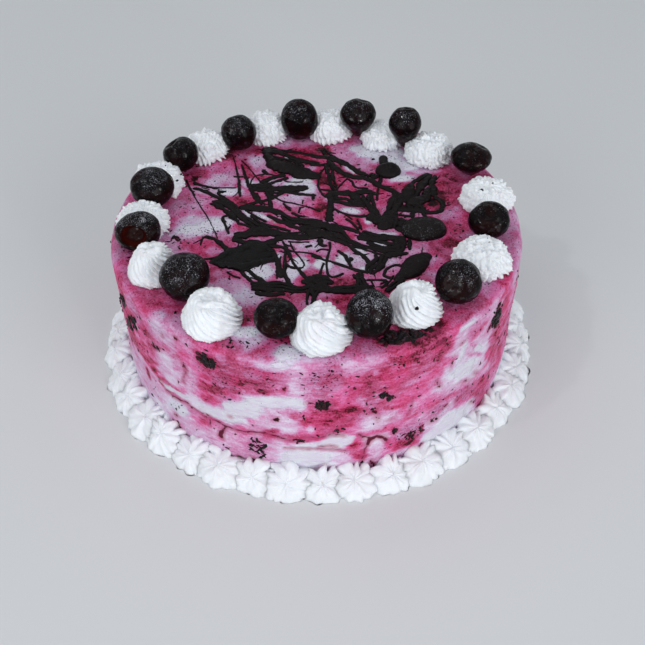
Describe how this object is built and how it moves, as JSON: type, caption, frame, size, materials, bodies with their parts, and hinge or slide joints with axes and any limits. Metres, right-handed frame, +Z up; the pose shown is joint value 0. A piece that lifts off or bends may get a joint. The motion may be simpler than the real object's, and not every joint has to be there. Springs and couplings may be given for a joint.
{
  "type": "ice cream cake",
  "caption": "Round marbled ice cream cake with a chocolate drizzle, a ring of piped cream rosettes and dark cherries on top, and a border of piped cream stars round its foot.",
  "frame": {"origin": "centre of the cake's base, on the surface that it stands on", "axes": "+Z up along the cake's axis, -Y towards the front that the picture shows, +X to the right of it"},
  "size_m": [0.2264, 0.2264, 0.1004],
  "materials": {
    "ice_cream": "frozen, matte with a slight wet sheen, marbled white, pink and magenta",
    "cream": "whipped cream, soft satin",
    "cherry_skin": "dark wet skin with a dusting of frost",
    "chocolate": "set dark chocolate, satin"
  },
  "bodies": {
    "root": {"cake_body": "ice_cream", "cream_border": "cream", "cream_rosette_01": "cream", "cream_rosette_02": "cream", "cream_rosette_03": "cream", "cream_rosette_04": "cream", "cream_rosette_05": "cream", "cream_rosette_06": "cream", "cream_rosette_07": "cream", "cream_rosette_08": "cream", "cream_rosette_09": "cream", "cream_rosette_10": "cream", "cream_rosette_11": "cream", "cream_rosette_12": "cream", "cream_rosette_13": "cream", "cherry_01": "cherry_skin", "cherry_02": "cherry_skin", "cherry_03": "cherry_skin", "cherry_04": "cherry_skin", "cherry_05": "cherry_skin", "cherry_06": "cherry_skin", "cherry_07": "cherry_skin", "cherry_08": "cherry_skin", "cherry_09": "cherry_skin", "cherry_10": "cherry_skin", "cherry_11": "cherry_skin", "cherry_12": "cherry_skin", "cherry_13": "cherry_skin"}
  },
  "joints": []
}
